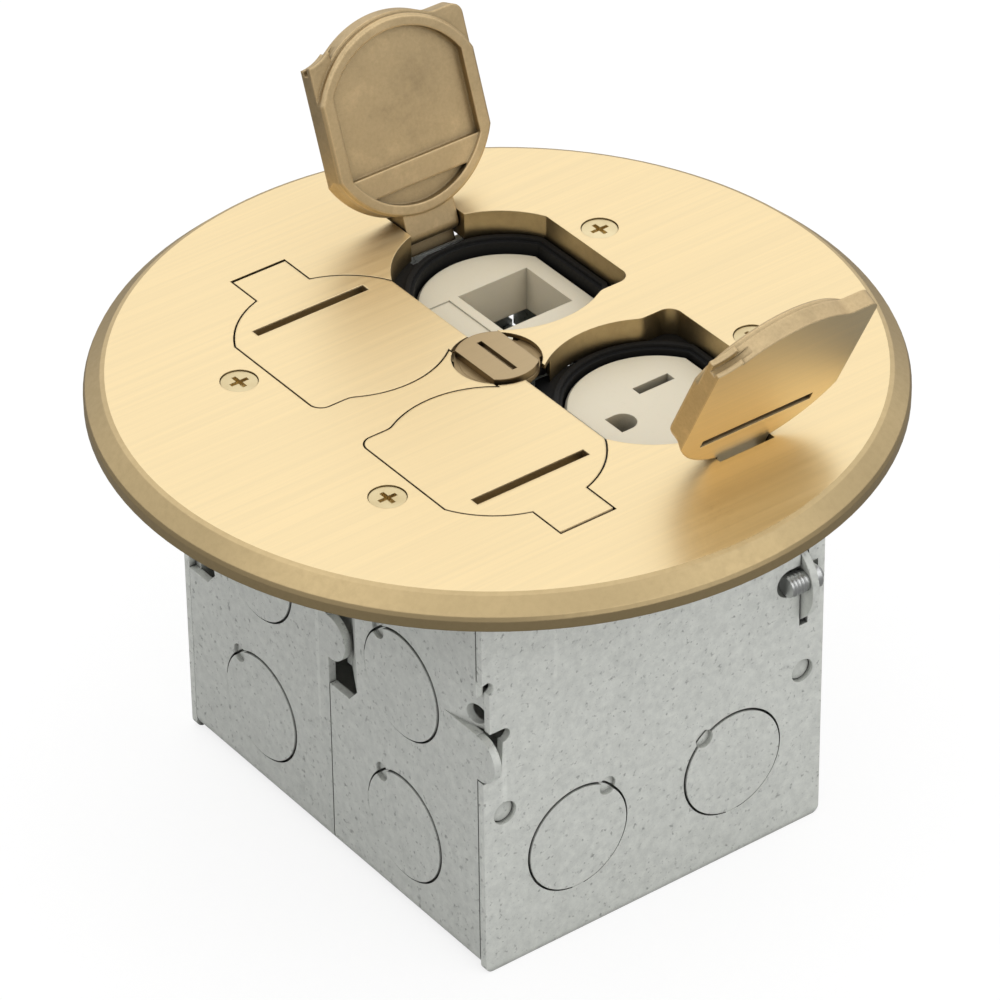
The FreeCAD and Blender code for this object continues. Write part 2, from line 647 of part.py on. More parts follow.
def contact_strip(sy):
    """Bus strip along one blade row, with a pair of spring leaves under each slot."""
    y = -device_y + sy * blade_y
    z1 = z_strap - strap
    low, top = z1 - bus_bottom, z1 - bus_top
    outer = sorted([y + sy * leaf_offset, y + sy * (leaf_offset + contact)])
    inner = sorted([y - sy * leaf_offset, y - sy * (leaf_offset + contact)])
    span = (min(outer[0], inner[0]), max(outer[1], inner[1]))
    plate = sorted([y + sy * (terminal_reach - contact), y + sy * terminal_reach])
    tail = (min(outer[0], plate[0]), max(outer[1], plate[1]))
    reach = body_half_length - well_end - 1
    pieces = [block(-reach, reach, outer[0], outer[1], low, top)]
    for sx in (-1, 1):
        x = sx * face_pitch / 2 + blade_x
        x0, x1 = x - leaf_half_length, x + leaf_half_length
        pieces += [block(x0, x1, outer[0], outer[1], low, z1 - leaf_top),
                   block(x0, x1, inner[0], inner[1], low, z1 - leaf_top),
                   block(x0, x1, span[0], span[1], low, low + contact)]
        x = sx * terminal_x
        shelf = z1 - terminal_z + terminal_radius + 0.4
        pieces += [block(x - leaf_half_length, x + leaf_half_length, tail[0], tail[1], shelf,
                         shelf + contact),
                   block(x - terminal_recess_half + 1, x + terminal_recess_half - 1, plate[0],
                         plate[1], low, top)]
    holes = [rod(terminal_radius + hole_clearance, (sx * terminal_x, y + sy * 3, z1 - terminal_z),
                 (0, sy, 0), terminal_reach) for sx in (-1, 1)]
    return cut(fuse(pieces), holes)


def ground_strip():
    y = -device_y
    z1 = z_strap - strap
    low = z1 - bus_bottom
    reach = body_half_length - well_end - 1
    near, far = y - ground_offset, y + ground_offset
    pieces = [block(-reach, reach, near, near + contact, low, z1 - bus_top)]
    for sx in (-1, 1):
        x = sx * face_pitch / 2 + ground_x
        x0, x1 = x - ground_leaf_half, x + ground_leaf_half
        pieces += [block(x0, x1, near, near + contact, low, z1 - leaf_top),
                   block(x0, x1, far - contact, far, low, z1 - leaf_top),
                   block(x0, x1, near, far, low, low + contact)]
    return fuse(pieces).cut(upright(rivet_radius + 0.4, 0, y, 0, FAR))


def terminal_screws(sy):
    y = -device_y + sy * (blade_y + terminal_reach)
    z = z_strap - strap - terminal_z
    screws = []
    for sx in (-1, 1):
        x = sx * terminal_x
        head = rod(terminal_head_radius, (x, y, z), (0, sy, 0), terminal_head_height)
        ys = sorted([y + sy * (terminal_head_height - terminal_driver_depth), y + sy * FAR])
        half = terminal_driver_width / 2
        slot = block(x - terminal_head_radius, x + terminal_head_radius, ys[0], ys[1], z - half, z + half)
        shank = rod(terminal_radius, (x, y - sy * (terminal_shank - 0.2), z), (0, sy, 0), terminal_shank)
        screws.append(head.cut(slot).fuse(shank).removeSplitter())
    return Part.makeCompound(screws)


def rivet(y, low, high):
    """Hollow rivet that holds a device to its strap."""
    tube = upright(rivet_radius, 0, y, low, high)
    lips = [upright(rivet_radius + rivet_lip, 0, y, high, high + rivet_lip_height),
            upright(rivet_radius + rivet_lip, 0, y, low - rivet_lip_height, low)]
    return fuse([tube] + lips).cut(upright(rivet_radius - rivet_wall, 0, y, 0, FAR))


def port_insert():
    """Low-voltage insert: two raised faces with a jack port and a label field in each."""
    y = device_y
    z0 = z_strap - strap
    pieces = [face_bridge(y)]
    tools = [upright(rivet_radius + hole_clearance, 0, y, z0, z_top)]
    hx, hy = port_length / 2, port_width / 2
    low = z_insert - port_depth
    for sx in (-1, 1):
        x = sx * face_pitch / 2
        px = x + sx * port_x
        pieces.append(raised_face(x, y, z_insert))
        pieces.append(block(px - hx - port_wall, px + hx + port_wall, y - hy - port_wall,
                            y + hy + port_wall, low, z_strap))
        tools.append(block(px - hx, px + hx, y - hy, y + hy, low - 1, z_top))
        label = sorted([x - sx * label_far, x - sx * label_near])
        tools.append(block(label[0], label[1], y - hy, y + hy, z_insert - label_depth, z_insert + 1))
    return cut(fuse(pieces), tools)


# ---- Steel box -------------------------------------------------------------------------
def folded_edges(shape, x_reach, z):
    """The two long bottom edges at the given level."""
    found = []
    for edge in shape.Edges:
        ends = [v.Point for v in edge.Vertexes]
        if all(abs(p.z - z) < 0.01 and abs(abs(p.x) - x_reach) < 0.01 for p in ends):
            if abs(ends[0].x - ends[1].x) < 0.01:
                found.append(edge)
    return found


def body_shell():
    """Plain U-shaped body centred on Y = 0."""
    half = gang_pitch / 2 - body_gap
    outer = block(-half_length, half_length, -half, half, 0, z_rim)
    outer = outer.makeFillet(fold_radius, folded_edges(outer, half_length, 0))
    inner = block(-wall_inner, wall_inner, -half - 1, half + 1, sheet, z_rim + 1)
    inner = inner.makeFillet(fold_radius - sheet, folded_edges(inner, wall_inner, sheet))
    return outer.cut(inner)


def device_ears():
    """Out-turned ears for the device screws, with the wall gaps and screw holes they need."""
    ears, gaps, holes = [], [], []
    for sx in (-1, 1):
        tip = sx * (half_length + ear_length)
        inner, outer = sorted([sx * wall_inner, tip])
        ear = block(inner, outer, -ear_width / 2, ear_width / 2, z_ear - sheet, z_ear)
        ears.append(fillet_upright(ear, [(tip, sy * ear_width / 2) for sy in (-1, 1)], 4.0))
        edges = sorted([sx * (wall_inner - 1), sx * (half_length + 1)])
        gaps.append(block(edges[0], edges[1], -wall_gap_width / 2, wall_gap_width / 2, z_ear, FAR))
        holes.append(upright(cover_screw_radius + hole_clearance, sx * screw_x, 0, z_ear - 5, z_ear + 1))
    return ears, gaps, holes


def wall_line(depth, along, z):
    """A point on the -X wall, measured inwards from its outer face."""
    return (-half_length + depth, along, z)


def half_round(x0, edge, side, low, high):
    """Half-round tongue of sheet standing hook_reach past a body's edge."""
    rise = (high - low) / 2
    radius = (rise ** 2 + hook_reach ** 2) / (2 * hook_reach)
    centre_y = edge + side * (hook_reach - radius)
    tongue = rod(radius, (x0, centre_y, (low + high) / 2), (1, 0, 0), sheet)
    ys = sorted([edge - side * 0.01, edge + side * FAR])
    return tongue.common(block(x0, x0 + sheet, ys[0], ys[1], 0, FAR))


def curved_dish(edge):
    """Screw pocket: the wall curls inwards towards the edge, sheared free above and below."""
    start = edge + pocket_run
    outer = Part.Arc(V(*wall_line(0, start, pocket_low)),
                     V(*wall_line(pocket_depth * 0.35, edge + pocket_run / 2, pocket_low)),
                     V(*wall_line(pocket_depth, edge, pocket_low))).toShape()
    inner = Part.Arc(V(*wall_line(pocket_depth + sheet, edge, pocket_low)),
                     V(*wall_line(pocket_depth * 0.35 + sheet, edge + pocket_run / 2, pocket_low)),
                     V(*wall_line(sheet, start, pocket_low))).toShape()
    ends = [Part.makeLine(outer.Vertexes[-1].Point, inner.Vertexes[0].Point),
            Part.makeLine(inner.Vertexes[-1].Point, outer.Vertexes[0].Point)]
    wire = Part.Wire([outer, ends[0], inner, ends[1]])
    return Part.Face(wire).extrude(V(0, 0, pocket_high - pocket_low))


def flush_hook():
    """Hook in the plane of the -X wall, past the -Y edge, and the screw pocket above it."""
    edge = -gang_pitch / 2 + body_gap
    tongue = half_round(-half_length, edge, -1, hook_low, hook_high)
    void = block(-half_length - 1, -wall_inner + 1, edge - 0.02, edge + pocket_run, pocket_low,
                 pocket_high)
    return tongue, curved_dish(edge), void


def joggled_ear():
    """Ear past the +Y edge of the -X wall, set in by one joggle to pass behind a hook."""
    edge = gang_pitch / 2 - body_gap
    bend = edge - joggle_flat
    start = edge - joggle_run
    ramp = prism([wall_line(0, start, joggle_low), wall_line(joggle_depth, bend, joggle_low),
                  wall_line(joggle_depth, edge, joggle_low),
                  wall_line(joggle_depth + sheet, edge, joggle_low),
                  wall_line(joggle_depth + sheet, bend - 0.5, joggle_low),
                  wall_line(sheet, start - 0.5, joggle_low)],
                 (0, 0, joggle_high - joggle_low))
    ear = half_round(-half_length + joggle_depth, edge, 1, ear_low, ear_high)
    void = block(-half_length - 1, -wall_inner + 1, start, edge + 1, joggle_low, joggle_high)
    foot = joggle_low - joggle_slot
    slot = prism([wall_line(-1, start, joggle_low), wall_line(-1, edge + 1, joggle_low),
                  wall_line(-1, edge + 1, foot), wall_line(-1, start + joggle_slot_taper, foot)],
                 (sheet + 2, 0, 0))
    return ramp, ear, void, slot


def pry_dimple(z):
    """Shallow round dimple across a knockout's edge on the -X wall, to start it with."""
    turn = math.radians(pry_angle)
    place = (-half_length - 1, -knockout_radius * math.cos(turn), z + knockout_radius * math.sin(turn))
    return rod(pry_radius, place, (1, 0, 0), 1 + pry_depth)


def gang_holes():
    """Holes for the ganging screws through one hook pocket and one joggled ear."""
    radius = gang_screw_radius + hole_clearance
    edge = gang_pitch / 2
    start = -half_length - 1
    return [rod(radius, (start, -edge + gang_screw_inset, gang_screw_z), (1, 0, 0), sheet + 5),
            rod(radius, (start, edge + gang_screw_inset, gang_screw_z), (1, 0, 0), sheet + 6)]


def box_body(outer_side):
    """One gang body about Y = 0; its removable side faces outer_side (-1 front, +1 rear)."""
    ears, gaps, ear_holes = device_ears()
    tongue, dish, hook_void = flush_hook()
    ramp, ear, ear_void, ear_slot = joggled_ear()
    wall_cuts = [hook_void, ear_void, ear_slot]
    for z in end_knockout_z:
        wall_cuts.append(rod(knockout_radius + knockout_gap, (-half_length - 1, 0, z), (1, 0, 0),
                             sheet + 2))
        wall_cuts.append(pry_dimple(z))
    shell = cut(body_shell(), gaps + wall_cuts + [half_turn(t) for t in wall_cuts])
    shell = cut(shell, [upright(base_hole_radius, sx * base_hole_spacing / 2, 0, -1, sheet + 1)
                        for sx in (-1, 1)])
    added = [tongue, dish, ramp, ear]
    whole = fuse([shell] + ears + added + [half_turn(a) for a in added] + side_flanges(outer_side))
    holes = gang_holes()
    return cut(whole, ear_holes + holes + [half_turn(h) for h in holes])


def side_flanges(outer_side):
    """Inner flanges with locating buttons that carry the side plate."""
    flanges = []
    edge = outer_side * (gang_pitch / 2 - body_gap)
    for sx in (-1, 1):
        xs = sorted([sx * (wall_inner + 0.01), sx * (wall_inner - flange_width)])
        ys = sorted([edge, edge - outer_side * sheet])
        flanges.append(block(xs[0], xs[1], ys[0], ys[1], flange_low, flange_high))
        flanges.append(rod(button_radius, (sx * button_x, edge - outer_side * sheet / 2, button_z),
                           (0, outer_side, 0), sheet / 2 + plate_gap + button_height))
    return flanges


def place_gang(shape, side):
    moved = shape.copy()
    moved.translate(V(0, side * gang_pitch / 2, 0))
    return moved


def knockout_disc(centre, along, across):
    """Disc proud of its wall, held by one tie across the gap. Vectors point in and up."""
    start = centre - along * knockout_proud
    disc = Part.makeCylinder(knockout_radius, sheet, start, along)
    rim = Part.makeCylinder(knockout_radius + knockout_gap, sheet - knockout_proud, centre, along)
    side = along.cross(across)
    corner = centre + across * (knockout_radius - 1) - side * knockout_tie
    tie = Part.Face(Part.makePolygon([corner, corner + side * 2 * knockout_tie,
                                      corner + side * 2 * knockout_tie + across * 3,
                                      corner + across * 3, corner])).extrude(along * sheet)
    return disc.fuse(tie.common(rim)).removeSplitter()


def end_knockouts():
    """Punched discs in both end walls of one body, each held by a small tie."""
    discs = []
    for z in end_knockout_z:
        disc = knockout_disc(V(-half_length, 0, z), V(1, 0, 0), V(0, 1, 0))
        discs.append(disc.cut(pry_dimple(z)))
    return Part.makeCompound(discs + [half_turn(d) for d in discs])


def plate_dimple(sx):
    """Pry dimple of a side plate's knockout, above it and towards the plate's middle."""
    turn = math.radians(pry_angle)
    face = -gang_pitch - plate_gap + body_gap - sheet
    x = sx * (side_knockout_x + knockout_radius * math.cos(turn))
    return rod(pry_radius, (x, face - 1, side_knockout_z + knockout_radius * math.sin(turn)),
               (0, 1, 0), 1 + pry_depth)


def side_plate():
    """Removable plate on the -Y side, notched for the hook and slotted for the ear and screw."""
    y1 = -gang_pitch + body_gap - plate_gap
    y0 = y1 - sheet
    x1 = half_length - 0.1
    plate = block(-x1, x1, y0, y1, 0, z_rim - rim_drop)
    plate = plate.makeFillet(fold_radius, [e for e in plate.Edges if len(e.Vertexes) == 2
                                           and all(v.Point.z < 0.01 for v in e.Vertexes)
                                           and abs(e.Vertexes[0].Point.x - e.Vertexes[1].Point.x) < 0.01])

    def through(x0, x2, z0, z2):
        return block(min(x0, x2), max(x0, x2), y0 - 1, y1 + 1, z0, z2)

    def hole(radius, x, z):
        return rod(radius, (x, y0 - 1, z), (0, 1, 0), sheet + 2)

    ear_x = half_length - joggle_depth
    inner = -half_length + notch_depth
    low, high = hook_low - 0.5, hook_high + 0.5
    tools = [through(-half_length - 1, inner - notch_corner, low, high),
             through(-half_length - 1, inner, low + notch_corner, high - notch_corner),
             hole(notch_corner, inner - notch_corner, low + notch_corner),
             hole(notch_corner, inner - notch_corner, high - notch_corner),
             hole(relief_radius, -half_length + 0.4, relief_z),
             through(ear_x - sheet - 0.2, ear_x + 0.2, ear_low - 0.4, ear_high + 0.4),
             through(ear_x, ear_x + gang_head_height + 0.4, gang_screw_z - gang_head_radius - 0.3,
                     gang_screw_z + gang_head_radius + 0.3)]
    slot_start = half_length - screw_slot_reach + screw_slot_radius
    for sx in (-1, 1):
        tools += [hole(screw_slot_radius, sx * slot_start, gang_screw_z),
                  through(sx * slot_start, sx * ear_x, gang_screw_z - screw_slot_radius,
                          gang_screw_z + screw_slot_radius),
                  hole(button_hole_radius, sx * button_x, button_z),
                  hole(knockout_radius + knockout_gap, sx * side_knockout_x, side_knockout_z),
                  plate_dimple(sx)]
    return cut(plate, tools)


def side_knockouts():
    face = -gang_pitch + body_gap - plate_gap - sheet
    discs = []
    for sx in (-1, 1):
        disc = knockout_disc(V(sx * side_knockout_x, face, side_knockout_z), V(0, 1, 0), V(0, 0, -1))
        discs.append(disc.cut(plate_dimple(sx)))
    return Part.makeCompound(discs)


def gang_screw(x, y, direction, length):
    """Round-head screw along X; direction is the way its point looks."""
    head = rod(gang_head_radius, (x, y, gang_screw_z), (-direction, 0, 0), gang_head_height)
    crown = x - direction * gang_head_height
    rim = [e for e in head.Edges if e.Curve.TypeId == "Part::GeomCircle"
           and abs(e.Vertexes[0].Point.x - crown) < 0.01]
    head = head.makeChamfer(gang_head_chamfer, rim)
    slot_x = sorted([crown - direction, crown + direction * gang_driver_depth])
    slot = block(slot_x[0], slot_x[1], y - gang_head_radius, y + gang_head_radius,
                 gang_screw_z - gang_driver_width / 2, gang_screw_z + gang_driver_width / 2)
    shank = rod(gang_screw_radius, (x - direction * 0.3, y, gang_screw_z), (direction, 0, 0), length)
    return head.cut(slot).fuse(shank).removeSplitter()


def ganging_screws():
    """Through a hook's pocket into the next body's ear, one at each end of the joint."""
    low_side = (gang_screw_inset + gang_head_radius) / pocket_run
    seat = half_length - pocket_depth * (1 - low_side) ** 2
    left = gang_screw(-seat - 0.1, gang_screw_inset, 1, gang_screw_length)
    return Part.makeCompound([left, half_turn(left)])


def side_plate_screws():
    """Through the free ear at each removable side, lying in the side plate's slot."""
    y = -gang_pitch - gang_screw_inset
    right = gang_screw(half_length - joggle_depth + 0.05, y, -1, side_screw_length)
    return Part.makeCompound([right, half_turn(right)])


def bonding_screw():
    """Hex-washer earth screw in the base of the front body."""
    y = -gang_pitch / 2 + bond_screw_y
    top = sheet + bond_washer_height
    washer = upright(bond_washer_radius, 0, y, sheet, top)
    corners = [math.radians(60 * k) for k in range(6)]
    hexagon = [(bond_hex_radius * math.cos(a), y + bond_hex_radius * math.sin(a), top - 0.01)
               for a in corners]
    shank = upright(bond_screw_radius, 0, y, 0.15, sheet + 0.1)
    slot = block(-bond_washer_radius, bond_washer_radius, y - bond_driver_width / 2,
                 y + bond_driver_width / 2, top + bond_hex_height - bond_driver_depth,
                 top + bond_hex_height + 1)
    return fuse([washer, prism(hexagon, (0, 0, bond_hex_height)), shank]).cut(slot)


# ---- Build -----------------------------------------------------------------------------
def build():
    lid = lid_closed()
    save(mirror_x(lid), "lid_rear_left")
    save(mirror_y(mirror_x(lid)), "lid_front_left")
    save(opened(lid, 1, rear_open_angle), "lid_rear_right")
    save(opened(mirror_y(lid), -1, front_open_angle), "lid_front_right")
    names = ("rear_right", "rear_left", "front_right", "front_left")
    for name, pin in zip(names, four_ways(hinge_pin())):
        save(pin, "hinge_pin_" + name)
    keepers = [k for pair in pin_keepers() for k in four_ways(pair)]
    save(Part.makeCompound(keepers), "hinge_pin_keepers")

    save(cover_plate(), "cover_plate")
    save(cover_screws(), "cover_screws")
    save(flange_gasket(), "cover_flange_gasket")
    save(latch_disc(), "latch_disc")
    save(latch_cam(), "latch_cam")
    save(latch_clip(), "latch_retaining_clip")
    save(latch_keeper(), "latch_keeper_plate")
    save(keeper_screws(), "latch_keeper_screws")
    save(latch_spring(), "latch_spring_washer")
    save(device_gasket(), "device_gasket")

    save(strap_plate(-device_y, spigot_half_x + spigot_clearance, spigot_half_y + spigot_clearance, 0),
         "receptacle_strap")
    save(outlet_face(), "receptacle_face")
    save(outlet_body(), "receptacle_body")
    save(contact_strip(1), "neutral_contacts")
    save(contact_strip(-1), "hot_contacts")
    save(ground_strip(), "ground_contacts")
    save(terminal_screws(1), "neutral_terminal_screws")
    save(terminal_screws(-1), "hot_terminal_screws")
    body_low = z_strap - strap - outlet_body_depth
    save(rivet(-device_y, body_low, z_strap + face_bridge_height), "receptacle_rivet")
    save(port_insert(), "port_insert")
    around = port_wall + spigot_clearance
    save(strap_plate(device_y, port_length / 2 + around, port_width / 2 + around, port_x), "insert_strap")
    save(rivet(device_y, z_strap - strap, z_strap + face_bridge_height), "insert_rivet")

    front = place_gang(box_body(-1), -1)
    front = front.cut(upright(bond_screw_radius + hole_clearance, 0, -gang_pitch / 2 + bond_screw_y,
                              -1, sheet + 1))
    save(front, "front_box_body")
    save(place_gang(box_body(1), 1), "rear_box_body")
    save(place_gang(end_knockouts(), -1), "front_body_knockouts")
    save(place_gang(end_knockouts(), 1), "rear_body_knockouts")
    save(side_plate(), "front_side_plate")
    save(half_turn(side_plate()), "rear_side_plate")
    save(side_knockouts(), "front_plate_knockouts")
    save(half_turn(side_knockouts()), "rear_plate_knockouts")
    save(ganging_screws(), "ganging_screws")
    save(side_plate_screws(), "side_plate_screws")
    save(bonding_screw(), "bonding_screw")


build()
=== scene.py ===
import math

import bpy
import bmesh
from mathutils import Matrix, Vector

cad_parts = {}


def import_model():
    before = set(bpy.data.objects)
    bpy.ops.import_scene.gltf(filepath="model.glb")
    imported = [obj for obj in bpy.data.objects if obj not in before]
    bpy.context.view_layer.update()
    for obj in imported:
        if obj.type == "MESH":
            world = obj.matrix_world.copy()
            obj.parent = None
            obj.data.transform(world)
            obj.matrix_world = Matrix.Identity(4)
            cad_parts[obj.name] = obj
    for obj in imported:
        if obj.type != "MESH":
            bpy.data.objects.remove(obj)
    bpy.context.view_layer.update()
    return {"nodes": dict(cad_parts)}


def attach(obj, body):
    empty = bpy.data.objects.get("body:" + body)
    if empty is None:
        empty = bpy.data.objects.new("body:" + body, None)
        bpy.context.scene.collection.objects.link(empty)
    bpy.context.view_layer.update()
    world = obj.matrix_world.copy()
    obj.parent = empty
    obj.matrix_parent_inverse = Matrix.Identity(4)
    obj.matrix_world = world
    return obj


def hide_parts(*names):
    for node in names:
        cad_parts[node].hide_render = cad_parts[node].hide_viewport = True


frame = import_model()
NODES = frame["nodes"]
TOP = 0.0954                      # closed cover's top face above the base
MM = 0.001


# ---- Shader helper ---------------------------------------------------------------------
class Shader:
    """A material's node tree, built by small calls."""

    def __init__(self, name):
        self.material = bpy.data.materials.new(name)
        self.material.use_nodes = True
        self.nodes = self.material.node_tree.nodes
        self.links = self.material.node_tree.links
        self.nodes.clear()
        self.output = self.nodes.new("ShaderNodeOutputMaterial")
        self.coords = self.nodes.new("ShaderNodeTexCoord")

    def set(self, socket, value):
        if isinstance(value, bpy.types.NodeSocket):
            self.links.new(value, socket)
        else:
            socket.default_value = value

    def add(self, kind, inputs=(), **settings):
        node = self.nodes.new(kind)
        for key, value in settings.items():
            setattr(node, key, value)
        for key, value in dict(inputs).items():
            self.set(node.inputs[key], value)
        return node

    def stretched(self, scale, offset=(0, 0, 0)):
        node = self.add("ShaderNodeMapping", {"Vector": self.coords.outputs["Object"],
                                              "Scale": scale, "Location": offset})
        return node.outputs["Vector"]

    def noise(self, scale, stretch=(1, 1, 1), detail=4.0, rough=0.6, offset=(0, 0, 0)):
        node = self.add("ShaderNodeTexNoise", {"Vector": self.stretched(stretch, offset),
                                               "Scale": scale, "Detail": detail,
                                               "Roughness": rough})
        return node.outputs["Fac"]

    def cell_tint(self, scale):
        """A random number for each cell of a cell pattern."""
        node = self.add("ShaderNodeTexVoronoi", {"Vector": self.stretched((1, 1, 1)),
                                                 "Scale": scale, "Randomness": 1.0})
        return self.add("ShaderNodeSeparateColor", {"Color": node.outputs["Color"]}).outputs["Red"]

    def ramp(self, value, low, high, to_low=0.0, to_high=1.0):
        """The value's span low..high drawn out to to_low..to_high, clamped at both ends."""
        node = self.add("ShaderNodeMapRange", {"Value": value, "From Min": low, "From Max": high,
                                               "To Min": to_low, "To Max": to_high})
        return node.outputs["Result"]

    def math(self, how, a, b=0.0):
        node = self.add("ShaderNodeMath", operation=how)
        self.set(node.inputs[0], a)
        self.set(node.inputs[1], b)
        return node.outputs[0]

    def mix(self, factor, a, b):
        node = self.add("ShaderNodeMix", data_type="RGBA")
        self.set(node.inputs["Factor"], factor)
        self.set(node.inputs["A"], a)
        self.set(node.inputs["B"], b)
        return node.outputs["Result"]

    def blend(self, factor, a, b):
        """A number between two numbers."""
        node = self.add("ShaderNodeMix", data_type="FLOAT")
        self.set(node.inputs["Factor"], factor)
        self.set(node.inputs["A"], a)
        self.set(node.inputs["B"], b)
        return node.outputs["Result"]

    def bump(self, height, distance, strength=1.0, normal=None):
        node = self.add("ShaderNodeBump", {"Height": height, "Distance": distance,
                                           "Strength": strength})
        if normal is not None:
            self.set(node.inputs["Normal"], normal)
        return node.outputs["Normal"]

    def soft_edges(self, radius):
        """A normal that reads as a small round on every sharp edge."""
        return self.add("ShaderNodeBevel", {"Radius": radius}, samples=4).outputs["Normal"]

    def edges(self, soft):
        """1 on the sharp edges that soft_edges rounds, 0 on the faces between them."""
        true = self.add("ShaderNodeNewGeometry").outputs["Normal"]
        node = self.add("ShaderNodeVectorMath", operation="DOT_PRODUCT")
        self.set(node.inputs[0], true)
        self.set(node.inputs[1], soft)
        return self.ramp(node.outputs["Value"], 0.995, 0.93)

    def open_sky(self, distance):
        """1 in the open, 0 deep in a gap or corner narrower than the distance."""
        node = self.add("ShaderNodeAmbientOcclusion", {"Distance": distance}, samples=6)
        return node.outputs["AO"]

    def facing(self, direction):
        """1 where the surface looks along a direction given in the part's own frame."""
        node = self.add("ShaderNodeVectorMath", operation="DOT_PRODUCT")
        self.set(node.inputs[0], self.coords.outputs["Normal"])
        self.set(node.inputs[1], direction)
        return self.ramp(node.outputs["Value"], 0.93, 0.99)

    def surface(self, **inputs):
        names = {key.replace("_", " "): value for key, value in inputs.items()}
        shader = self.add("ShaderNodeBsdfPrincipled", names)
        self.links.new(shader.outputs["BSDF"], self.output.inputs["Surface"])
        return self.material


def rgb(red, green, blue):
    return (red, green, blue, 1.0)


def scaled(colour, factor):
    return rgb(*[factor * c for c in colour])


# ---- Metals ----------------------------------------------------------------------------
BRASS_GAP_SHADE_REACH, BRASS_WELL_SHADE_REACH = 0.0012, 0.009  # reach, in metres, of the painted shade in gaps and wells
# reach, in metres, of the painted shade in zinc and plastic gaps
ZINC_GAP_SHADE_REACH, PLASTIC_GAP_SHADE_REACH = 0.0022, 0.006


def brushed_brass(name, dark, top=(0, 0, 1), light=(0.90, 0.725, 0.43), cast=False):
    """Brushed along X on the side that looks along top; darker on the others, partly the turned or
    cast finish and partly painted shade.
    """
    s = Shader(name)
    soft = s.soft_edges(0.0006 if cast else 0.0003)
    on_top = s.facing(top)
    long_lines = s.noise(900, (0.012, 1, 1), 3.0, 0.7)
    fine_lines = s.noise(3200, (0.02, 1, 1), 2.0, 0.6, (3, 1, 0))
    clouds = s.noise(22, detail=3.0)
    stains = s.noise(75, (1, 1, 1), 7.0, 0.72, (5, 2, 1))
    grain = s.noise(1500 if cast else 700, (1, 1, 1), 5.0, 0.7)
    brushed = s.mix(s.ramp(long_lines, 0.35, 0.65), scaled(light, 0.94), rgb(*light))
    brushed = s.mix(s.ramp(clouds, 0.35, 0.7, 0.0, 0.15), brushed, scaled(light, 0.92))
    # Darker side colour: partly the turned or cast finish, partly painted shade.
    side = s.mix(s.ramp(clouds, 0.3, 0.7), scaled(dark, 0.92), scaled(dark, 1.06))
    side = s.mix(s.ramp(grain, 0.4, 0.75, 0.0, 0.30), side, scaled(dark, 0.76))
    if cast:
        side = s.mix(s.ramp(stains, 0.50, 0.70, 0.0, 0.55), side, scaled(dark, 0.60))
        side = s.mix(s.ramp(stains, 0.44, 0.32, 0.0, 0.40), side, scaled(dark, 1.35))
        # Lighter along the cast edges: partly wear, partly painted highlight.
        side = s.mix(s.math("MULTIPLY", s.edges(soft), 0.55), side, scaled(dark, 1.55))
    # Darker in the wells and near other walls: painted shade.
    side = s.mix(s.ramp(s.open_sky(BRASS_WELL_SHADE_REACH), 0.25, 0.85), scaled(dark, 0.34), side)
    colour = s.mix(on_top, side, brushed)
    # Near black in narrow gaps and seams: painted shade.
    colour = s.mix(s.ramp(s.open_sky(BRASS_GAP_SHADE_REACH), 0.10, 0.55), scaled(dark, 0.06), colour)
    rough_top = s.ramp(long_lines, 0.3, 0.7, 0.36, 0.44)
    rough_side = s.ramp(grain, 0.3, 0.7, 0.42 if cast else 0.34, 0.58 if cast else 0.46)
    rough = s.blend(on_top, rough_side, rough_top)
    lines = s.math("ADD", s.math("MULTIPLY", long_lines, 0.7), s.math("MULTIPLY", fine_lines, 0.3))
    height = s.blend(on_top, s.math("MULTIPLY", grain, 0.6 if cast else 0.25), lines)
    return s.surface(Base_Color=colour, Metallic=1.0, Roughness=rough,
                     Anisotropic=s.math("MULTIPLY", on_top, 0.5),
                     Tangent=s.add("ShaderNodeCombineXYZ", {"Y": 1.0}).outputs[0],
                     Normal=s.bump(height, 0.00003, 0.5, soft))


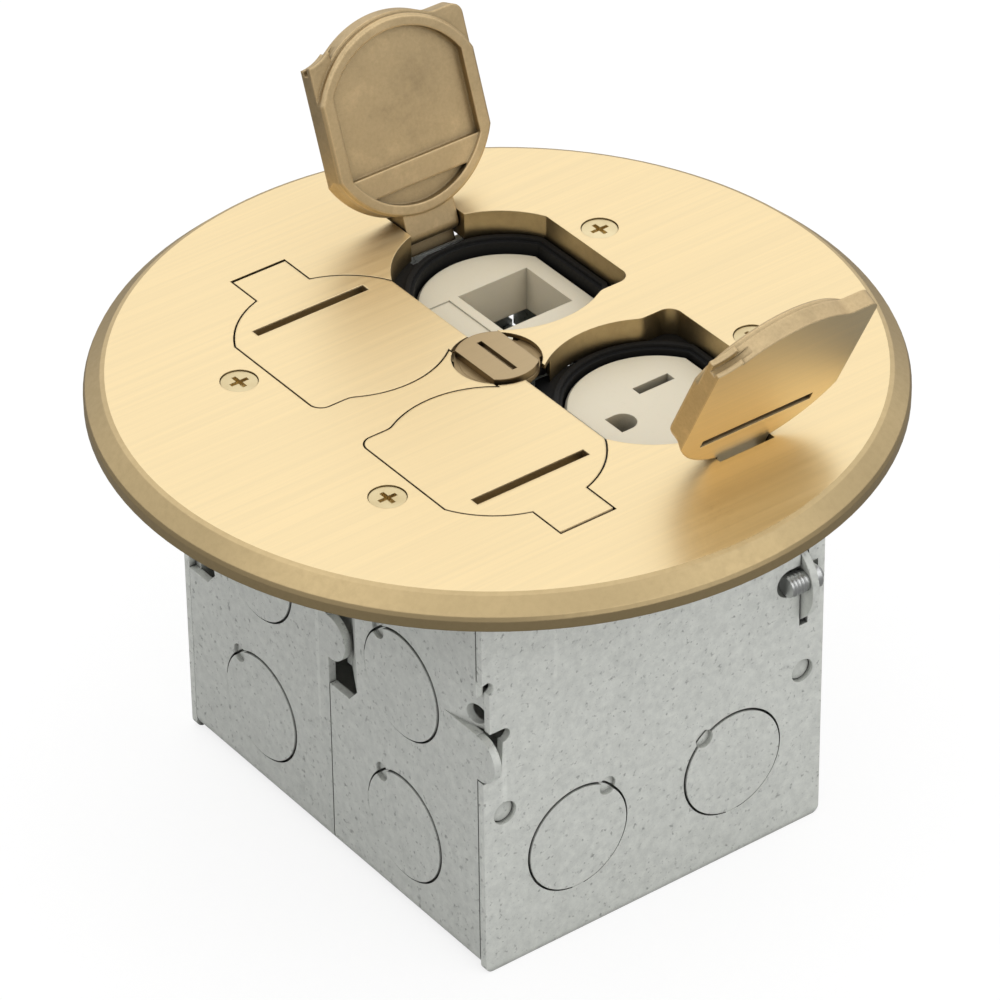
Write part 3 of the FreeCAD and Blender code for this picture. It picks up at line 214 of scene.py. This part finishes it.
def galvanised(name, tone=1.0, seed=0.0):
    """Hot-dip zinc on sheet steel: fine spangle, dull specks, handling scratches."""
    s = Shader(name)
    soft = s.soft_edges(0.0003)
    tint = s.cell_tint(700)
    mottle = s.noise(560, (1, 1, 1), 6.0, 0.75, (seed, 0, 0))
    specks = s.noise(900, (1, 1, 1), 3.0, 0.6, (0, seed, 0))
    clouds = s.noise(34, (1, 1, 0.6), 4.0, 0.55, (seed, seed, 0))
    scratch = s.noise(260, (1, 1, 0.05), 2.0, 0.4, (0, 0, seed))
    rub = s.noise(200, (0.06, 0.06, 1), 2.0, 0.4, (seed, 0, 0))
    pale = (0.75 * tone, 0.765 * tone, 0.72 * tone)
    mid = (0.60 * tone, 0.615 * tone, 0.58 * tone)
    base = s.mix(s.ramp(mottle, 0.35, 0.68), rgb(*mid), rgb(*pale))
    base = s.mix(s.ramp(tint, 0.0, 1.0, 0.0, 0.22), base, scaled(pale, 1.12))
    base = s.mix(s.ramp(clouds, 0.45, 0.72, 0.0, 0.16), base, scaled(mid, 0.88))
    base = s.mix(s.ramp(specks, 0.60, 0.72, 0.0, 0.70), base, scaled(mid, 0.38))
    base = s.mix(s.ramp(scratch, 0.71, 0.76, 0.0, 0.30), base, scaled(pale, 1.25))
    base = s.mix(s.ramp(rub, 0.70, 0.77, 0.0, 0.25), base, scaled(mid, 0.55))
    # Lighter along sharp edges: partly wear, partly painted highlight.
    base = s.mix(s.math("MULTIPLY", s.edges(soft), 0.35), base, scaled(pale, 1.2))
    # Near black in gaps and seams: painted shade.
    base = s.mix(s.ramp(s.open_sky(ZINC_GAP_SHADE_REACH), 0.15, 0.72), rgb(0.012, 0.013, 0.012), base)
    rough = s.ramp(mottle, 0.3, 0.7, 0.42, 0.60)
    height = s.math("ADD", s.math("MULTIPLY", tint, 0.25), mottle)
    return s.surface(Base_Color=base, Metallic=0.3, Roughness=rough,
                     Normal=s.bump(height, 0.00003, 0.4, soft))


def plain_metal(name, light, dark, rough=(0.22, 0.36), scale=600.0):
    """Turned or plated steel and brass."""
    s = Shader(name)
    grain = s.noise(scale, (1, 1, 3), 4.0, 0.6)
    wear = s.noise(90, detail=3.0)
    colour = s.mix(s.ramp(wear, 0.35, 0.7), rgb(*light), rgb(*dark))
    return s.surface(Base_Color=colour, Metallic=1.0, Roughness=s.ramp(grain, 0.3, 0.7, *rough),
                     Normal=s.bump(grain, 0.00002, 0.5, s.soft_edges(0.0002)))


# ---- Plastics and rubber ---------------------------------------------------------------
def moulded(name, colour, rough, texture=0.00002, gloss=0.5, scatter=0.0):
    """Plastic or rubber with a fine moulded grain; scatter lets a little light into it."""
    s = Shader(name)
    grain = s.noise(1400, detail=3.0)
    tone = s.noise(35, detail=2.0)
    base = s.mix(s.ramp(tone, 0.35, 0.7, 0.0, 0.5), rgb(*colour), scaled(colour, 0.93))
    base = s.mix(s.ramp(grain, 0.6, 0.75, 0.0, 0.25), base, scaled(colour, 0.85))
    # Darker in crevices and holes: painted shade.
    base = s.mix(s.ramp(s.open_sky(PLASTIC_GAP_SHADE_REACH), 0.10, 0.75), scaled(colour, 0.22), base)
    settings = {"Base_Color": base,
                "Roughness": s.ramp(grain, 0.3, 0.7, rough - 0.06, rough + 0.08),
                "Normal": s.bump(grain, texture, 0.5, s.soft_edges(0.0003))}
    if scatter:
        settings.update(Subsurface_Weight=scatter, Subsurface_Radius=(0.002, 0.0015, 0.001),
                        Subsurface_Scale=0.4)
    return s.surface(Specular_IOR_Level=gloss, **settings)


# ---- Which node wears what --------------------------------------------------------------
def wear(material, *nodes):
    for node in nodes:
        mesh = NODES[node].data
        mesh.materials.clear()
        mesh.materials.append(material)


def lid_top(side, degrees):
    """Outward normal of a lid's brushed face, opened from shut by degrees (rear +1, front -1)."""
    turn = Matrix.Rotation(math.radians(degrees), 3, Vector((-side, 0, 0)))
    return tuple(turn @ Vector((0, 0, 1)))


# Side colours of the cover and lids: partly the turned and cast finish, partly painted shade on
# rims, bevels and undersides.
CAST_SHADED, TURNED_SHADED = (0.60, 0.46, 0.265), (0.55, 0.42, 0.225)
REAR_OPEN, FRONT_OPEN = 110, 116  # degrees the right-hand lids stand open in the photo
wear(brushed_brass("brushed_brass", TURNED_SHADED), "cover_plate", "hinge_pin_keepers")
wear(brushed_brass("lid_brass_shut", CAST_SHADED, cast=True), "lid_rear_left", "lid_front_left")
wear(brushed_brass("lid_brass_rear_open", CAST_SHADED, lid_top(1, REAR_OPEN), cast=True),
     "lid_rear_right")
wear(brushed_brass("lid_brass_front_open", CAST_SHADED, lid_top(-1, FRONT_OPEN), cast=True),
     "lid_front_right")
wear(brushed_brass("latch_brass", dark=(0.42, 0.31, 0.17), light=(0.50, 0.38, 0.22)), "latch_disc")
wear(plain_metal("cam_brass", (0.46, 0.35, 0.20), (0.36, 0.26, 0.14), (0.4, 0.5)), "latch_cam")
wear(plain_metal("screw_brass", (0.80, 0.68, 0.42), (0.62, 0.50, 0.28), (0.3, 0.42)),
     "cover_screws")
# Hinge pins far darker than bright steel: painted shade where they sit under the lid tabs.
wear(plain_metal("drawn_steel_painted_shade", (0.30, 0.30, 0.31), (0.20, 0.20, 0.21)), "hinge_pin_rear_left",
     "hinge_pin_rear_right", "hinge_pin_front_left", "hinge_pin_front_right")
wear(plain_metal("spring_steel", (0.30, 0.31, 0.33), (0.20, 0.21, 0.23)), "latch_retaining_clip",
     "latch_spring_washer")
wear(plain_metal("zinc_steel", (0.66, 0.67, 0.66), (0.50, 0.51, 0.50), (0.3, 0.45)),
     "latch_keeper_plate", "latch_keeper_screws", "receptacle_strap", "insert_strap",
     "receptacle_rivet", "insert_rivet", "neutral_terminal_screws", "ganging_screws",
     "side_plate_screws")
wear(plain_metal("contact_brass", (0.66, 0.48, 0.22), (0.50, 0.34, 0.14)), "neutral_contacts",
     "hot_contacts", "ground_contacts", "hot_terminal_screws")
wear(plain_metal("green_screw", (0.05, 0.28, 0.10), (0.03, 0.18, 0.06)), "bonding_screw")
wear(galvanised("galvanised_front", 1.0, 0.3), "front_box_body", "front_body_knockouts")
wear(galvanised("galvanised_rear", 0.97, 1.7), "rear_box_body", "rear_body_knockouts")
wear(galvanised("galvanised_side", 1.08, 2.9), "front_side_plate", "rear_side_plate",
     "front_plate_knockouts", "rear_plate_knockouts")
wear(moulded("black_rubber", (0.008, 0.008, 0.008), 0.6, 0.00003, gloss=0.25), "device_gasket")
wear(moulded("foam_rubber", (0.02, 0.02, 0.022), 0.85, 0.0002), "cover_flange_gasket")
wear(moulded("almond_plastic", (0.78, 0.71, 0.55), 0.36, 0.00001, scatter=0.15),
     "receptacle_face", "port_insert")
wear(moulded("black_phenolic", (0.02, 0.02, 0.02), 0.4), "receptacle_body")


# ---- Side plates and screw threads, as the photo shows them ----------------------------
PLATE_OUTER, PLATE_INNER = -47.69, -46.09    # mm, the front plate's two faces along Y
PLATE_HALF, PLATE_TOP = 39.6, 87.4
KNOCKOUT_X, KNOCKOUT_Z, KNOCKOUT_HOLE = 18.2, 22.0, 11.55
PRY_PLACE, PRY_RADIUS = (-6.83, 8.75), 1.9   # from a knockout's middle; mirrored for the other
SCREW_AXIS = (-48.34, 57.6)                  # y, z of the screw lying in the plate's trough


def arc(x, z, radius, start, end, steps=16):
    turns = [math.radians(start + (end - start) * k / steps) for k in range(steps + 1)]
    return [(x + radius * math.cos(t), z + radius * math.sin(t)) for t in turns]


def circle(x, z, radius):
    return arc(x, z, radius, 0, 360, 64)[:-1]


def plate_outline():
    """Anticlockwise from the foot, hook end at -X: notch for the hook, end cut back above it."""
    cut_back, notch = -38.0, -35.5
    return (arc(-38.0, 1.6, 1.6, 180, 270, 8) + arc(38.0, 1.6, 1.6, 270, 360, 8)
            + [(PLATE_HALF, PLATE_TOP), (-PLATE_HALF, PLATE_TOP)]
            + arc(-38.6, 65.3, 1.6, 128, -68, 24) + [(cut_back, 55.1)]
            + arc(-35.0, 53.6, 1.5, 95, -95, 24) + arc(notch - 1.4, 45.8, 1.4, 0, -90, 8)
            + [(-PLATE_HALF, 44.4)])


def ear_opening():
    """Slot for the ear, clearance for the screw's head, and the mouth of the screw's trough."""
    return ([(35.8, 46.6), (35.8, 54.8), (38.0, 54.8), (38.0, 60.4), (35.8, 60.4), (35.8, 64.4),
             (33.8, 64.4), (33.8, 60.6)] + arc(31.3, 57.6, 3.0, 90, 270, 24)
            + [(33.8, 54.6), (33.8, 46.6)])


def pried_hole(side):
    """The knockout's hole joined with the half-deep pry dimple on its rim."""
    x, z = side * (KNOCKOUT_X + PRY_PLACE[0]), KNOCKOUT_Z + PRY_PLACE[1]
    heading = math.degrees(math.atan2(PRY_PLACE[1], side * PRY_PLACE[0]))
    ring = [p for p in arc(side * KNOCKOUT_X, KNOCKOUT_Z, KNOCKOUT_HOLE, heading, heading + 360, 96)
            if math.dist(p, (x, z)) > PRY_RADIUS]
    bite = [p for p in arc(x, z, PRY_RADIUS, heading - 180, heading + 180, 40)
            if math.dist(p, (side * KNOCKOUT_X, KNOCKOUT_Z)) > KNOCKOUT_HOLE]
    return ring + bite


def punched(outline, holes, y_low, y_high):
    """Closed sheet between two planes across Y, with holes, as a bmesh in millimetres."""
    curve = bpy.data.curves.new("punched", "CURVE")
    curve.dimensions, curve.fill_mode, curve.extrude = "2D", "BOTH", (y_high - y_low) / 2
    for loop in [outline] + holes:
        spline = curve.splines.new("POLY")
        spline.points.add(len(loop) - 1)
        for point, (x, z) in zip(spline.points, loop):
            point.co = (x, z, 0, 1)
        spline.use_cyclic_u = True
    holder = bpy.data.objects.new("punched", curve)
    mesh = bpy.data.meshes.new_from_object(holder)
    shape = bmesh.new()
    shape.from_mesh(mesh)
    bpy.data.objects.remove(holder)
    bpy.data.curves.remove(curve)
    bpy.data.meshes.remove(mesh)
    upright = (Matrix.Translation((0, (y_low + y_high) / 2, 0))
               @ Matrix.Rotation(math.radians(90), 4, "X"))
    bmesh.ops.transform(shape, matrix=upright, verts=shape.verts)
    bmesh.ops.remove_doubles(shape, verts=shape.verts, dist=0.0005)
    return shape


def skin(shape, rows, closed=False):
    """Quads between neighbouring rows of points; closed joins each row's ends."""
    made = [[shape.verts.new(point) for point in row] for row in rows]
    for first, second in zip(made, made[1:]):
        count = len(first) if closed else len(first) - 1
        for k in range(count):
            other = (k + 1) % len(first)
            shape.faces.new((first[k], first[other], second[other], second[k]))
    return made


def trough(shape):
    """Pressed trough behind the opening: a half tube with a round end, one sheet thick."""
    y, z = PLATE_OUTER + 0.35, SCREW_AXIS[1]

    def half_ring(x, width, depth, steps=16):
        turns = [math.pi * k / steps for k in range(steps + 1)]
        return [(x, y + depth * math.sin(t), z - width * math.cos(t)) for t in turns]

    rows = []
    for k in range(13):
        swing = math.radians(8 + 82 * k / 12)
        size = math.sin(swing)
        inner = half_ring(31.3 - 2.95 * math.cos(swing), 2.95 * size, 2.6 * size)
        outer = half_ring(31.3 - 4.1 * math.cos(swing), 4.1 * size, 3.7 * size)
        rows.append(inner + outer[::-1])
    rows.append(half_ring(33.7, 2.95, 2.6) + half_ring(33.7, 4.1, 3.7)[::-1])
    made = skin(shape, rows, closed=True)
    for row in (made[0], made[-1]):
        half = len(row) // 2
        for k in range(half - 1):
            shape.faces.new((row[k], row[k + 1], row[-k - 2], row[-k - 1]))


def place(shape, name, material, node=None, turned=False):
    """Millimetre bmesh to an object riding on the box; turned puts it on the other side."""
    bmesh.ops.recalc_face_normals(shape, faces=shape.faces)
    matrix = Matrix.Scale(MM, 4)
    if turned:
        matrix = Matrix.Rotation(math.pi, 4, "Z") @ matrix
    bmesh.ops.transform(shape, matrix=matrix, verts=shape.verts)
    mesh = bpy.data.meshes.new(name)
    shape.to_mesh(mesh)
    shape.free()
    mesh.shade_smooth()
    mesh.set_sharp_from_angle(angle=math.radians(35))
    mesh.materials.append(material)
    obj = bpy.data.objects.new(name, mesh)
    bpy.context.scene.collection.objects.link(obj)
    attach(obj, "floor_box")
    if node:
        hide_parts(node)


def side_plate():
    middle = (PLATE_OUTER + PLATE_INNER) / 2
    buttons = [circle(side * 34.8, 35.7, 2.5) for side in (-1, 1)]
    plain = [circle(side * KNOCKOUT_X, KNOCKOUT_Z, KNOCKOUT_HOLE) for side in (-1, 1)]
    pried = [pried_hole(side) for side in (-1, 1)]
    shape = punched(plate_outline(), [ear_opening()] + buttons + pried, PLATE_OUTER, middle)
    back = punched(plate_outline(), [ear_opening()] + buttons + plain, middle, PLATE_INNER)
    joined = bpy.data.meshes.new("joined")
    back.to_mesh(joined)
    back.free()
    shape.from_mesh(joined)
    bpy.data.meshes.remove(joined)
    trough(shape)
    return shape


def thread(x_from, x_to, pitch=0.8, root=2.0, crest=2.3):
    """Helical ridge round a screw's shank along X."""
    shape = bmesh.new()
    y, z = SCREW_AXIS
    steps = int(24 * (x_to - x_from - pitch) / pitch)
    rows = []
    for k in range(steps + 1):
        turn, x = math.tau * k / 24, x_from + pitch * k / 24
        rows.append([(x + shift, y + radius * math.cos(turn), z + radius * math.sin(turn))
                     for shift, radius in ((0.05, root), (pitch / 2, crest), (pitch - 0.05, root))])
    made = skin(shape, rows, closed=True)
    for row in (made[0], made[-1]):
        shape.faces.new(row)
    return shape


plate_zinc = NODES["front_side_plate"].data.materials[0]
screw_zinc = NODES["side_plate_screws"].data.materials[0]
for end, half_turned in (("front", False), ("rear", True)):
    place(side_plate(), end + "_side_plate_pressed", plate_zinc,
          end + "_side_plate", half_turned)
    place(thread(29.9, 33.7), end + "_screw_thread", screw_zinc,
          turned=half_turned)


# ---- Camera ----------------------------------------------------------------------------
AZIMUTH, ELEVATION, ROLL = -36.557, 35.644, -0.724
DISTANCE, FOCAL = 1.098146, 5.97828 * 36
AIM_RIGHT, AIM_UP = 0.000228, -0.026115


def camera():
    az, el, roll = (math.radians(a) for a in (AZIMUTH, ELEVATION, ROLL))
    back = Vector((math.sin(az) * math.cos(el), -math.cos(az) * math.cos(el), math.sin(el)))
    right = (-back).cross(Vector((0, 0, 1))).normalized()
    up = right.cross(-back)
    target = Vector((0, 0, TOP)) + right * AIM_RIGHT + up * AIM_UP
    tilted = math.cos(roll) * right + math.sin(roll) * up
    upward = math.cos(roll) * up - math.sin(roll) * right
    data = bpy.data.cameras.new("photo_camera")
    data.sensor_width = 36
    data.lens = FOCAL
    data.clip_end = 50
    obj = bpy.data.objects.new("photo_camera", data)
    bpy.context.scene.collection.objects.link(obj)
    obj.matrix_world = Matrix.Translation(target + back * DISTANCE) @ Matrix(
        (tilted, upward, back)).transposed().to_4x4()
    bpy.context.scene.camera = obj


# ---- Studio ----------------------------------------------------------------------------
FLOOR_GLOW, FLOOR_PAINT = 1.12, 0.30        # what the camera sees: own light, and share of paint
FLOOR_TO_OBJECT = (0.27, 0.27, 0.27)        # its paint where the object mirrors it
HORIZON, ZENITH, SOFTBOX_GAIN = 0.23, 0.62, 0.62
SOFTBOX = (0.51, 0.67, 0.54)                # towards the bright side, behind the cover


def area_light(name, position, target, size, power):
    data = bpy.data.lights.new(name, "AREA")
    data.shape = "RECTANGLE"
    data.size, data.size_y = size
    data.energy = power
    obj = bpy.data.objects.new(name, data)
    bpy.context.scene.collection.objects.link(obj)
    aim = (Vector(target) - Vector(position)).to_track_quat("-Z", "Y")
    obj.matrix_world = Matrix.Translation(Vector(position)) @ aim.to_matrix().to_4x4()


def floor():
    mesh = bpy.data.meshes.new("studio_floor")
    shape = bmesh.new()
    bmesh.ops.create_grid(shape, x_segments=8, y_segments=8, size=6)
    shape.to_mesh(mesh)
    shape.free()
    obj = bpy.data.objects.new("studio_floor", mesh)
    bpy.context.scene.collection.objects.link(obj)
    s = Shader("studio_floor")
    glow = s.add("ShaderNodeEmission", {"Color": rgb(1, 1, 1), "Strength": FLOOR_GLOW})
    paint = s.add("ShaderNodeBsdfDiffuse", {"Color": rgb(0.8, 0.8, 0.8)})
    dull = s.add("ShaderNodeBsdfDiffuse", {"Color": rgb(*FLOOR_TO_OBJECT)})
    seen = s.add("ShaderNodeMixShader", {"Fac": FLOOR_PAINT})
    s.links.new(glow.outputs[0], seen.inputs[1])
    s.links.new(paint.outputs[0], seen.inputs[2])
    path = s.add("ShaderNodeLightPath")
    other = s.add("ShaderNodeMixShader", {"Fac": path.outputs["Is Glossy Ray"]})
    s.links.new(paint.outputs[0], other.inputs[1])
    s.links.new(dull.outputs[0], other.inputs[2])
    both = s.add("ShaderNodeMixShader", {"Fac": path.outputs["Is Camera Ray"]})
    s.links.new(other.outputs[0], both.inputs[1])
    s.links.new(seen.outputs[0], both.inputs[2])
    s.links.new(both.outputs[0], s.output.inputs["Surface"])
    mesh.materials.append(s.material)


def world():
    """White to the camera; to everything else a studio that is brightest above and behind."""
    scene_world = bpy.data.worlds.new("studio")
    scene_world.use_nodes = True
    tree = scene_world.node_tree
    tree.nodes.clear()

    def node(kind, **settings):
        made = tree.nodes.new(kind)
        for key, value in settings.items():
            setattr(made, key, value)
        return made

    def level(value, low, high, to_low, to_high):
        made = node("ShaderNodeMapRange", interpolation_type="SMOOTHSTEP")
        tree.links.new(value, made.inputs["Value"])
        span = {"From Min": low, "From Max": high, "To Min": to_low, "To Max": to_high}
        for key, number in span.items():
            made.inputs[key].default_value = number
        return made.outputs["Result"]

    direction = node("ShaderNodeTexCoord").outputs["Generated"]
    height = node("ShaderNodeSeparateXYZ")
    tree.links.new(direction, height.inputs[0])
    behind = node("ShaderNodeVectorMath", operation="DOT_PRODUCT")
    tree.links.new(direction, behind.inputs[0])
    behind.inputs[1].default_value = SOFTBOX
    total = node("ShaderNodeMath", operation="ADD")
    tree.links.new(level(height.outputs["Z"], -0.2, 0.95, HORIZON, ZENITH), total.inputs[0])
    tree.links.new(level(behind.outputs["Value"], 0.0, 0.75, 0.0, SOFTBOX_GAIN), total.inputs[1])
    seen = node("ShaderNodeBackground")
    fill = node("ShaderNodeBackground")
    for shader in (seen, fill):
        shader.inputs["Color"].default_value = rgb(1, 1, 1)
    tree.links.new(total.outputs[0], fill.inputs["Strength"])
    path = node("ShaderNodeLightPath")
    mix = node("ShaderNodeMixShader")
    tree.links.new(path.outputs["Is Camera Ray"], mix.inputs["Fac"])
    tree.links.new(fill.outputs[0], mix.inputs[1])
    tree.links.new(seen.outputs[0], mix.inputs[2])
    tree.links.new(mix.outputs[0], node("ShaderNodeOutputWorld").inputs["Surface"])
    bpy.context.scene.world = scene_world


camera()
world()
floor()
area_light("key", (-1.1, -0.3, 1.3), (0, 0, 0.08), (1.8, 1.8), 6)
area_light("fill", (0.3, -1.5, 0.9), (0, 0, 0.05), (2.4, 1.4), 10)
bpy.context.scene.view_settings.view_transform = "Standard"
